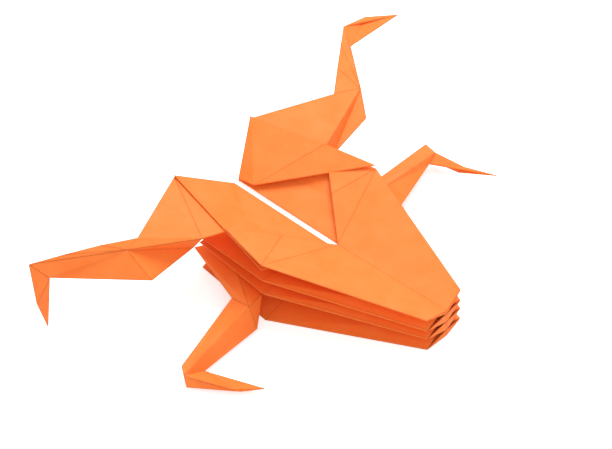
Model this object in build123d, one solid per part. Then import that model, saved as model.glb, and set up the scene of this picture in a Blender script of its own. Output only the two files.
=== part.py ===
from build123d import *
import os

# Origami frog folded from one uncut square of paper, in millimetres.
# +X is the frog's right, +Y points to the nose, +Z is up.
# The origin is on the flat underside, midway between the two widest corners.

# Driving dimensions
ply = 0.2              # thickness of a pressed page wall
leg_ply = 0.35         # thickness of a narrowed leg wall, several plies pressed together
nose_y = 24.0          # blunt nose end
nose_half = 4.3        # half width of the nose end
wide_half = 14.3       # half width at the widest corners
spine_half = 0.6       # half width of the stack of centre folds
nose_edges = (6.2, 4.0, 2.3, ply / 2)    # heights of the four page edges at the nose
wide_edges = (11.7, 8.5, 5.7, ply / 2)   # heights of the four page edges at the widest corners
nose_folds = (4.8, 3.1, 1.3)          # heights of the centre folds at the nose
wide_folds = (6.1, 4.3, 2.2)          # heights of the centre folds at the widest corners
rear_folds = (8.6, 5.6, 3.0)          # heights of the centre folds at the rear
rear_y = -16.0         # rear ends of the lower pages
rear_half = 11.2       # half width of the lower pages at the rear
rear_edges = (6.8, 5.5, ply / 2)      # heights of the three lower page edges at the rear
slit_front = (3.3, 7.3)               # place along Y and height of the slit's front end
slit_rear = (-17.6, 9.8)              # place along Y and height of the slit's rear end
slit_half = 0.5        # half width of the slit in the back
tuck = (12.4, -8.9, 13.1)             # outer end of the folded edge behind the slit's front end
knee = (9.3, -22.2, 15.1)             # outer rear corner of the thigh
lap = 0.35             # drop from one layer to the one under it
fold_lap = 0.07        # how far each flat wall runs past a fold into its neighbour

# Hind legs: each point is (out, along, up); the two were folded a little differently
right_hind = {
    "ankle": (22.9, -17.4, 14.2), "bend": (25.4, -17.4, 13.5), "tuck": (16.0, -10.4, 12.8),
    "under": (15.6, -13.0, 9.3), "keel": (25.2, -12.9, 9.5), "heel": (37.7, -25.8, 15.0),
    "sole": (35.6, -24.2, 11.5), "toe": (36.4, -25.8, 0.7), "web": (38.1, -25.2, 7.3),
}
left_hind = {
    "ankle": (23.1, -15.7, 14.2), "bend": (27.1, -13.2, 14.0), "tuck": (12.6, -9.1, 12.7),
    "under": (14.0, -9.0, 10.0), "keel": (22.9, -8.8, 12.3), "heel": (38.3, -25.7, 15.0),
    "sole": (36.0, -22.4, 13.5), "toe": (52.4, -24.5, 10.0), "web": (45.4, -26.6, 12.6),
}
# Front legs: upper arm forward to the elbow, forearm out to the heel, foot along the table
right_front = {
    "root": (10.7, -17.9, 3.0), "root_top": (7.0, -14.0, 4.0), "elbow_rear": (16.1, -5.1, 3.2),
    "elbow": (16.9, -0.8, 4.5), "elbow_in": (13.0, -1.5, 4.0), "elbow_low": (17.0, 0.6, 0.6),
    "wrist_rear": (31.1, -2.2, 2.2), "wrist": (32.3, -0.7, 2.1), "wrist_in": (28.7, 0.1, 0.6),
    "heel_low": (32.8, 0.2, 0.6), "sole": (28.6, 7.1, 0.6), "toe": (25.9, 9.8, 0.6),
    "instep": (29.4, 6.5, 1.2),
}
left_front = {
    "root": (10.7, -17.9, 3.0), "root_top": (7.0, -14.0, 4.0), "elbow_rear": (17.2, -4.6, 3.2),
    "elbow": (17.3, -0.9, 5.2), "elbow_in": (13.0, -1.5, 4.6), "elbow_low": (17.4, 2.2, 2.2),
    "wrist_rear": (33.0, -3.9, 2.6), "wrist": (32.2, -1.2, 2.6), "wrist_in": (29.9, -0.9, 1.8),
    "heel_low": (31.9, -1.6, 0.6), "sole": (32.2, 3.6, 0.6), "toe": (35.4, 9.4, 0.6),
    "instep": (33.6, 4.0, 1.0),
}


def wall(corners, thickness):
    """One flat triangle of paper, of even thickness about its middle surface."""
    middle = sum((Vector(*p) for p in corners), Vector(0, 0, 0)) / len(corners)
    spread = [Vector(*p) + (Vector(*p) - middle).normalized() * fold_lap for p in corners]
    a, b, c = spread
    normal = (b - a).cross(c - a).normalized()
    half = normal * (thickness / 2)
    face = Face(Wire.make_polygon([a - half, b - half, c - half], close=True))
    if face.normal_at().dot(normal) < 0:
        face = -face
    return Solid.extrude(face, normal * thickness)


def panel(points, thickness):
    """Triangles that fan out from the first corner of a panel."""
    return [wall((points[0], points[i], points[i + 1]), thickness) for i in range(1, len(points) - 1)]


def down(point, drop):
    return (point[0], point[1], point[2] - drop)


def page_side(side):
    """The zigzag of page walls on one side, from the top edge to the flat underside."""
    walls = []
    nose = [(side * nose_half, nose_y, z) for z in nose_edges]
    wide = [(side * wide_half, 0.0, z) for z in wide_edges]
    rear = [(side * tuck[0], tuck[1], tuck[2] - lap)]
    rear += [(side * rear_half, rear_y, z) for z in rear_edges]
    nose_in = [(side * spine_half, nose_y, z) for z in nose_folds]
    wide_in = [(side * spine_half, 0.0, z) for z in wide_folds]
    rear_in = [(side * spine_half, rear_y, z) for z in rear_folds]
    for i in range(3):
        for edge in (i, i + 1):
            # the lowest wall stays clear of the table, so that the underside stays flat
            lift = ply / 2 if edge == 3 else 0.0
            ends = [down(row[edge], -lift) for row in (nose, wide, rear)]
            walls += panel([nose_in[i], ends[0], ends[1], wide_in[i]], ply)
            walls += panel([wide_in[i], ends[1], ends[2], rear_in[i]], ply)
    # the end of the nose, where each page is sunk and closed
    for i in range(3):
        walls += panel([nose_in[i], nose[i], nose[i + 1]], ply)
    # the flat underside
    middle = [(0.0, nose_y, ply / 2), (0.0, 0.0, ply / 2), (0.0, rear_y, rear_edges[2])]
    walls += panel([middle[0], nose[3], wide[3], middle[1]], ply)
    walls += panel([middle[1], wide[3], rear[3], middle[2]], ply)
    # the spine, where the centre folds of both sides are pressed together
    top = [(0.0, nose_y, nose_folds[0]), (0.0, 0.0, wide_folds[0]), (0.0, rear_y, rear_folds[0])]
    for i in range(2):
        walls += panel([middle[i], top[i], top[i + 1], middle[i + 1]], 2 * spine_half + ply)
    return walls


def back(side):
    """The top sheet in front of the slit and the layer that shows behind it."""
    nose_mid = (0.0, nose_y, nose_edges[0] - 0.7)
    nose = (side * nose_half, nose_y, nose_edges[0])
    wide = (side * wide_half, 0.0, wide_edges[0])
    front = (0.0,) + slit_front
    tucked = (side * tuck[0],) + tuck[1:]
    inner_front = (side * slit_half, slit_front[0] - 0.5, slit_front[1] - lap)
    inner_rear = (side * slit_half,) + slit_rear
    outer_rear = (side * knee[0],) + knee[1:]
    spine = (0.0, 0.0, wide_folds[0])
    spine_rear = (0.0, rear_y, rear_folds[0])
    walls = panel([nose_mid, nose, wide, front], ply) + panel([front, wide, tucked], ply)
    walls += panel([inner_front, down(wide, lap), down(tucked, lap), outer_rear, inner_rear], ply)
    # the layer that closes the slit from below, its white side up
    walls += panel([(0.0, 0.0, front[2] - 1.0), down(wide, 2 * lap), down(tucked, 2 * lap)], ply)
    walls += panel([(0.0, 0.0, front[2] - 1.0), down(tucked, 2 * lap), down(inner_rear, 1.0)], ply)
    walls += panel([spine, (0.0, 0.0, front[2] - 1.0), (0.0, rear_y, slit_rear[1] - 1.0), spine_rear],
                   2 * spine_half + ply)
    # the short wall from the nose edge of the back down to the first centre fold
    walls += panel([nose_mid, nose, (side * spine_half, nose_y, nose_folds[0])], ply)
    return walls


def hind_leg(side, leg):
    """Thigh edge out to the shank, then the roof-shaped foot and its toe."""
    p = {name: (side * v[0], v[1], v[2]) for name, v in leg.items()}
    hip = (side * knee[0], knee[1], knee[2] - lap)
    inner = (side * slit_half, slit_rear[0], slit_rear[1] - lap)
    root = (side * tuck[0], tuck[1], tuck[2] - lap)
    walls = panel([hip, p["ankle"], p["bend"], p["tuck"], root], leg_ply)
    walls += panel([hip, root, inner], leg_ply)
    walls += panel([p["ankle"], p["bend"], p["heel"]], leg_ply)
    walls += panel([p["bend"], p["tuck"], p["under"], p["keel"]], leg_ply)
    walls += panel([p["bend"], p["keel"], p["sole"], p["heel"]], leg_ply)
    walls += panel([p["heel"], p["sole"], p["web"]], leg_ply)
    walls += panel([p["sole"], p["web"], p["toe"]], leg_ply)
    walls += panel([p["heel"], p["web"], p["toe"]], leg_ply)
    return walls


def front_leg(side, leg):
    """Upper arm, forearm and foot, each a narrow strip folded along its ridge."""
    p = {name: (side * v[0], v[1], v[2]) for name, v in leg.items()}
    shoulder = (side * spine_half / 2, rear_y, rear_folds[2])
    walls = panel([p["root"], p["elbow_rear"], p["elbow"], p["root_top"]], leg_ply)
    walls += panel([p["root_top"], p["elbow"], p["elbow_in"]], leg_ply)
    walls += panel([shoulder, p["root"], p["root_top"]], leg_ply)
    walls += panel([p["elbow_rear"], p["wrist_rear"], p["wrist"], p["elbow"]], leg_ply)
    walls += panel([p["elbow"], p["wrist"], p["wrist_in"], p["elbow_low"]], leg_ply)
    walls += panel([p["elbow_in"], p["elbow"], p["elbow_low"]], leg_ply)
    walls += panel([p["wrist"], p["wrist_in"], p["instep"]], leg_ply)
    walls += panel([p["wrist_in"], p["instep"], p["toe"]], leg_ply)
    walls += panel([p["wrist"], p["heel_low"], p["sole"], p["instep"]], leg_ply)
    walls += panel([p["instep"], p["sole"], p["toe"]], leg_ply)
    return walls


walls = []
for side in (1, -1):
    walls += page_side(side)
    walls += back(side)
walls += hind_leg(1, right_hind)
walls += hind_leg(-1, left_hind)
walls += front_leg(1, right_front)
walls += front_leg(-1, left_front)

folded_sheet = walls[0].fuse(*walls[1:])

os.makedirs("parts", exist_ok=True)
export_step(folded_sheet, "parts/folded_sheet.step")
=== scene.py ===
import bpy
from mathutils import Matrix, Vector


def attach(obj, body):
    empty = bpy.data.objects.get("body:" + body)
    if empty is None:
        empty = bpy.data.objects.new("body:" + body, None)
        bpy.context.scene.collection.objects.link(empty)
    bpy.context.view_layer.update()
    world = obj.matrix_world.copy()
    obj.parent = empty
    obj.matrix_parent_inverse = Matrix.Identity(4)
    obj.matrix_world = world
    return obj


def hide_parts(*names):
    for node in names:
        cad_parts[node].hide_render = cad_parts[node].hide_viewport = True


# Origami frog, lengths in millimetres turned to metres by MM.
# +X is the frog's right, +Y points to the nose, +Z is up, as in the frame.
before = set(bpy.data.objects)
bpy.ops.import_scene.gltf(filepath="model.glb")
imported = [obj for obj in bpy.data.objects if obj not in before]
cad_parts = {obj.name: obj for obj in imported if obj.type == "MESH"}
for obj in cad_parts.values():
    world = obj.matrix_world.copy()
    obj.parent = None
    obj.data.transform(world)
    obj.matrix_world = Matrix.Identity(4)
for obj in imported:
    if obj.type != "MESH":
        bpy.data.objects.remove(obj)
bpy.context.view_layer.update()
MM = 0.001

# Driving dimensions, the same as the frame's
ply = 0.16
leg_ply = 0.24
nose_y = 24.0
nose_half = 4.3
wide_half = 14.3
spine_half = 0.6
nose_edges = (6.2, 4.0, 2.3, 0.1)
wide_edges = (11.7, 8.5, 5.7, 0.1)
nose_folds = (4.8, 3.1, 1.3)
wide_folds = (6.1, 4.3, 2.2)
rear_folds = (8.6, 5.6, 3.0)
rear_y = -16.0
rear_half = 11.2
rear_edges = (6.8, 5.5, 0.1)
slit_front = (3.3, 7.3)
slit_rear = (-17.6, 9.8)
slit_half = 0.5
tuck = (12.4, -8.9, 13.1)
knee = (9.3, -22.2, 15.1)
lap = 0.35
end_bow = 0.5          # how far the middle of the nose end stands forward of its corners
valley = 0.9           # how far the middle of the nose end lies below its corners

right_hind = {
    "ankle": (22.9, -17.4, 14.2), "bend": (25.4, -17.4, 13.5), "tuck": (16.0, -10.4, 12.8),
    "under": (15.6, -13.0, 9.3), "keel": (25.2, -12.9, 9.5), "heel": (37.7, -25.8, 15.0),
    "sole": (35.6, -24.2, 11.5), "toe": (36.4, -25.8, 0.7), "web": (38.1, -25.2, 7.3),
}
left_hind = {
    "ankle": (23.1, -15.7, 14.2), "bend": (27.1, -13.2, 14.0), "tuck": (12.6, -9.1, 12.7),
    "under": (14.0, -9.0, 10.0), "keel": (22.9, -8.8, 12.3), "heel": (38.3, -25.7, 15.0),
    "sole": (36.0, -22.4, 13.5), "toe": (52.4, -24.5, 10.0), "web": (45.4, -26.6, 12.6),
}
right_front = {
    "root": (10.7, -17.9, 3.0), "root_top": (7.0, -14.0, 4.0), "elbow_rear": (16.1, -5.1, 3.2),
    "elbow": (16.9, -0.8, 4.5), "elbow_in": (13.0, -1.5, 4.0), "elbow_low": (17.0, 0.6, 0.6),
    "wrist_rear": (31.1, -2.2, 2.2), "wrist": (32.3, -0.7, 2.1), "wrist_in": (28.7, 0.1, 0.6),
    "heel_low": (32.8, 0.2, 0.6), "sole": (28.6, 7.1, 0.6), "toe": (25.9, 9.8, 0.6),
    "instep": (29.4, 6.5, 1.2),
}
left_front = {
    "root": (10.7, -17.9, 3.0), "root_top": (7.0, -14.0, 4.0), "elbow_rear": (17.2, -4.6, 3.2),
    "elbow": (17.3, -0.9, 5.2), "elbow_in": (13.0, -1.5, 4.6), "elbow_low": (17.4, 2.2, 2.2),
    "wrist_rear": (33.0, -3.9, 2.6), "wrist": (32.2, -1.2, 2.6), "wrist_in": (29.9, -0.9, 1.8),
    "heel_low": (31.9, -1.6, 0.6), "sole": (32.2, 3.6, 0.6), "toe": (35.4, 9.4, 0.6),
    "instep": (33.6, 4.0, 1.0),
}


# Materials
def node(tree, kind, **values):
    made = tree.nodes.new(kind)
    for name, value in values.items():
        made.inputs[name].default_value = value
    return made


def paper(name, colour, pale, roughness):
    """Matt paper: fibres, a faint mottle, slight cockling, and rounded normals along sharp folds."""
    material = bpy.data.materials.new(name)
    material.use_nodes = True
    tree = material.node_tree
    shader = tree.nodes["Principled BSDF"]
    shader.inputs["Roughness"].default_value = roughness
    shader.inputs["Specular IOR Level"].default_value = 0.25
    place = tree.nodes.new("ShaderNodeTexCoord")
    mottle = node(tree, "ShaderNodeTexNoise", Scale=260.0, Detail=6.0, Roughness=0.65)
    fibre = node(tree, "ShaderNodeTexNoise", Scale=2600.0, Detail=4.0, Roughness=0.7)
    cockle = node(tree, "ShaderNodeTexNoise", Scale=90.0, Detail=2.0, Roughness=0.5)
    for texture in (mottle, fibre, cockle):
        tree.links.new(place.outputs["Object"], texture.inputs["Vector"])
    shade = tree.nodes.new("ShaderNodeValToRGB")
    shade.color_ramp.elements[0].position = 0.3
    shade.color_ramp.elements[0].color = (*colour, 1.0)
    shade.color_ramp.elements[1].position = 0.75
    shade.color_ramp.elements[1].color = (*pale, 1.0)
    tree.links.new(mottle.outputs["Fac"], shade.inputs["Fac"])
    bevel = node(tree, "ShaderNodeBevel", Radius=0.00035)
    tree.links.new(shade.outputs["Color"], shader.inputs["Base Color"])
    rough = node(tree, "ShaderNodeBump", Strength=0.18, Distance=0.00008)
    wave = node(tree, "ShaderNodeBump", Strength=0.25, Distance=0.0004)
    tree.links.new(fibre.outputs["Fac"], rough.inputs["Height"])
    tree.links.new(cockle.outputs["Fac"], wave.inputs["Height"])
    tree.links.new(bevel.outputs["Normal"], wave.inputs["Normal"])
    tree.links.new(wave.outputs["Normal"], rough.inputs["Normal"])
    tree.links.new(rough.outputs["Normal"], shader.inputs["Normal"])
    return material


orange = paper("orange_side", (1.0, 0.2, 0.025), (1.0, 0.245, 0.05), 0.62)
# The paper's white reverse side, seen down the slit. Its emission is painted light: a glow that keeps the
# slit lining as bright as a brightly lit white surface.
white_glow = paper("white_side_painted_glow", (0.93, 0.92, 0.90), (0.97, 0.96, 0.95), 0.7)
white_glow.node_tree.nodes["Principled BSDF"].inputs["Emission Color"].default_value = (1.0, 0.99, 0.97, 1.0)
white_glow.node_tree.nodes["Principled BSDF"].inputs["Emission Strength"].default_value = 0.5


# The folded sheet
def down(point, drop):
    return (point[0], point[1], point[2] - drop)


def between(a, b, share, lift=0.0):
    """A point part of the way from one point to another, raised by a little."""
    return tuple(a[i] + (b[i] - a[i]) * share + (lift if i == 2 else 0.0) for i in range(3))


def sheet_mesh(name, panels, thickness, material):
    """Flat panels, each of even thickness, become one mesh with softened folds."""
    places = []
    faces = []
    for panel in panels:
        start = len(places)
        places += panel
        faces.append(list(range(start, len(places))))
    mesh = bpy.data.meshes.new(name)
    mesh.from_pydata([[c * MM for c in p] for p in places], [], faces)
    made = bpy.data.objects.new(name, mesh)
    bpy.context.collection.objects.link(made)
    mesh.materials.append(material)
    thick = made.modifiers.new("thickness", "SOLIDIFY")
    thick.thickness = thickness * MM
    thick.offset = 0.0
    thick.use_even_offset = False
    soft = made.modifiers.new("soft_folds", "BEVEL")
    soft.width = thickness * 0.3 * MM
    soft.segments = 2
    soft.limit_method = "ANGLE"
    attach(made, "root")
    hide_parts("folded_sheet")
    return made


def pages(side):
    """The zigzag of page walls on one side."""
    nose = [(side * nose_half, nose_y, z) for z in nose_edges]
    wide = [(side * wide_half, 0.0, z) for z in wide_edges]
    rear = [(side * tuck[0], tuck[1], tuck[2] - lap)]
    rear += [(side * rear_half, rear_y, z) for z in rear_edges]
    nose_in = [(side * spine_half, nose_y - 0.3, z) for z in nose_folds]
    wide_in = [(side * spine_half, 0.0, z) for z in wide_folds]
    rear_in = [(side * spine_half, rear_y, z) for z in rear_folds]
    walls = []
    for i in range(3):
        for edge in (i, i + 1):
            walls.append([nose_in[i], nose[edge], wide[edge], wide_in[i]])
            walls.append([wide_in[i], wide[edge], rear[edge], rear_in[i]])
    middle = [(0.0, nose_y, 0.1), (0.0, 0.0, 0.1), (0.0, rear_y, 0.1)]
    # the sunk end of each page, a shallow tent between its edge and the folds beside it
    stack = [(0.0, nose_y + end_bow, nose_edges[0] - valley)]
    stack += [(0.0, nose_y + end_bow, z) for z in nose_folds]
    stack += [(0.0, nose_y + end_bow, 0.1)]
    for i in range(4):
        walls.append([stack[i], nose[i], stack[i + 1]])
    walls.append([middle[0], nose[3], wide[3], middle[1]])
    walls.append([middle[1], wide[3], rear[3], middle[2]])
    return walls


def top_panels(side):
    """The front of the back, curved a little along its folded edge behind the slit's front end."""
    nose_mid = (0.0, nose_y + end_bow, nose_edges[0] - valley)
    nose = (side * nose_half, nose_y, nose_edges[0])
    wide = (side * wide_half, 0.0, wide_edges[0])
    front = (0.0,) + slit_front
    tucked = (side * tuck[0],) + tuck[1:]
    bow = between(front, tucked, 0.5, 0.25)
    return [[nose_mid, nose, wide, front], [front, wide, bow], [bow, wide, tucked]]


def thigh_panels(side):
    """The layer that shows behind the folded edge, out to the knee."""
    inner_front = (side * slit_half, slit_front[0] - 0.5, slit_front[1] - lap)
    inner_rear = (side * slit_half,) + slit_rear
    under = 3 * lap
    wide = down((side * wide_half, 0.0, wide_edges[0]), under)
    tucked = down((side * tuck[0],) + tuck[1:], lap if side > 0 else under)
    return [[inner_front, wide, tucked, (side * knee[0],) + knee[1:], inner_rear]]


def strip_panels():
    """On the left the narrowed strip is folded over on top, with a slanted front edge."""
    front = (-slit_half, -14.3, 10.3)
    wide = (-wide_half, 0.0, wide_edges[0] + 0.7)
    outer = (-knee[0], knee[1], knee[2] + 0.15)
    side_edge = (-tuck[0], tuck[1], tuck[2] + 0.6)
    rear = (-slit_half, slit_rear[0], slit_rear[1] + 0.2)
    return [[front, wide, side_edge], [front, side_edge, outer, rear]]


def hind_leg(side, leg):
    p = {name: (side * v[0], v[1], v[2]) for name, v in leg.items()}
    hip = (side * knee[0], knee[1], knee[2] - lap)
    inner = (side * slit_half, slit_rear[0], slit_rear[1] - lap)
    root = (side * tuck[0], tuck[1], tuck[2] - 2 * lap)
    arch = between(p["ankle"], p["heel"], 0.35, 0.35)
    instep = between(p["ankle"], p["heel"], 0.7, 0.25)
    return [
        [hip, p["ankle"], p["bend"], p["tuck"]], [hip, p["tuck"], root], [hip, root, inner],
        [p["ankle"], arch, p["bend"]], [arch, instep, p["bend"]], [instep, p["heel"], p["bend"]],
        [p["bend"], p["tuck"], p["under"], p["keel"]], [p["bend"], p["keel"], p["sole"], p["heel"]],
        [p["heel"], p["sole"], p["web"]], [p["sole"], p["toe"], p["web"]], [p["heel"], p["web"], p["toe"]],
    ]


def front_leg(side, leg):
    p = {name: (side * v[0], v[1], v[2]) for name, v in leg.items()}
    return [
        [p["root"], p["elbow_rear"], p["elbow"], p["root_top"]], [p["root_top"], p["elbow"], p["elbow_in"]],
        [p["elbow_rear"], p["wrist_rear"], p["wrist"], p["elbow"]],
        [p["elbow"], p["wrist"], p["wrist_in"], p["elbow_low"]], [p["elbow_in"], p["elbow"], p["elbow_low"]],
        [p["wrist"], p["wrist_in"], p["instep"]], [p["wrist_in"], p["instep"], p["toe"]],
        [p["wrist"], p["heel_low"], p["sole"], p["instep"]], [p["instep"], p["sole"], p["toe"]],
    ]


for side, word in ((1, "right"), (-1, "left")):
    sheet_mesh("pages_" + word, pages(side), ply, orange)
    sheet_mesh("thigh_" + word, thigh_panels(side), ply, orange)
sheet_mesh("back", top_panels(1) + [p[::-1] for p in top_panels(-1)], ply, orange)
sheet_mesh("strip_left", strip_panels(), ply, orange)
sheet_mesh("hind_leg_right", hind_leg(1, right_hind), leg_ply, orange)
sheet_mesh("hind_leg_left", hind_leg(-1, left_hind), leg_ply, orange)
sheet_mesh("front_leg_right", front_leg(1, right_front), leg_ply, orange)
sheet_mesh("front_leg_left", front_leg(-1, left_front), leg_ply, orange)
white_front = slit_front[1] - 0.6
white_rear = slit_rear[1] - 0.5
# The white lining under the slit carries painted light, because its material glows through emission.
sheet_mesh("slit_lining", [[
    (-2 * slit_half, slit_front[0] - 0.3, white_front), (2 * slit_half, slit_front[0] - 0.3, white_front),
    (2 * slit_half, slit_rear[0], white_rear), (-2 * slit_half, slit_rear[0], white_rear),
]], ply, white_glow)

# Floor, camera and lights
bpy.ops.mesh.primitive_plane_add(size=4.0, location=(0.0, 0.0, -0.0001))
floor = bpy.context.object
floor.name = "floor"
floor_material = bpy.data.materials.new("floor_white")
floor_material.use_nodes = True
tree = floor_material.node_tree
plain = tree.nodes["Principled BSDF"]
plain.inputs["Base Color"].default_value = (0.92, 0.92, 0.92, 1.0)
plain.inputs["Roughness"].default_value = 0.9
plain.inputs["Specular IOR Level"].default_value = 0.0
plain.inputs["Emission Color"].default_value = (1.0, 1.0, 1.0, 1.0)
seen = tree.nodes.new("ShaderNodeLightPath")
glow = tree.nodes.new("ShaderNodeMath")
glow.operation = "MULTIPLY"
glow.inputs[1].default_value = 0.55
tree.links.new(seen.outputs["Is Camera Ray"], glow.inputs[0])
tree.links.new(glow.outputs["Value"], plain.inputs["Emission Strength"])
floor.data.materials.append(floor_material)

camera_data = bpy.data.cameras.new("camera")
camera_data.lens = 105.9
camera_data.sensor_width = 36.0
camera = bpy.data.objects.new("camera", camera_data)
bpy.context.collection.objects.link(camera)
camera.location = (0.1601, 0.1384, 0.1979)
right = Vector((-0.634, 0.772, -0.041))
backward = Vector((0.5604, 0.4952, 0.6639)).normalized()
right = (right - backward * right.dot(backward)).normalized()
up = backward.cross(right)
camera.rotation_mode = "QUATERNION"
turn = (right, up, backward)
camera.rotation_quaternion = Matrix(turn).transposed().to_quaternion()
camera_data.clip_start = 0.01
bpy.context.scene.camera = camera


def lamp(name, place, size, power):
    """A square soft light aimed at the object."""
    data = bpy.data.lights.new(name, "AREA")
    data.size = size
    data.energy = power
    made = bpy.data.objects.new(name, data)
    bpy.context.collection.objects.link(made)
    made.location = place
    made.rotation_mode = "QUATERNION"
    made.rotation_quaternion = (-Vector(place)).to_track_quat("-Z", "Y")


lamp("key", (-0.25, -0.10, 0.55), 0.35, 3.2)
lamp("fill", (0.35, 0.45, 0.40), 0.6, 1.1)
world = bpy.data.worlds.new("studio")
world.use_nodes = True
world.node_tree.nodes["Background"].inputs["Color"].default_value = (1.0, 1.0, 1.0, 1.0)
world.node_tree.nodes["Background"].inputs["Strength"].default_value = 0.6
bpy.context.scene.world = world
bpy.context.scene.view_settings.view_transform = "Standard"
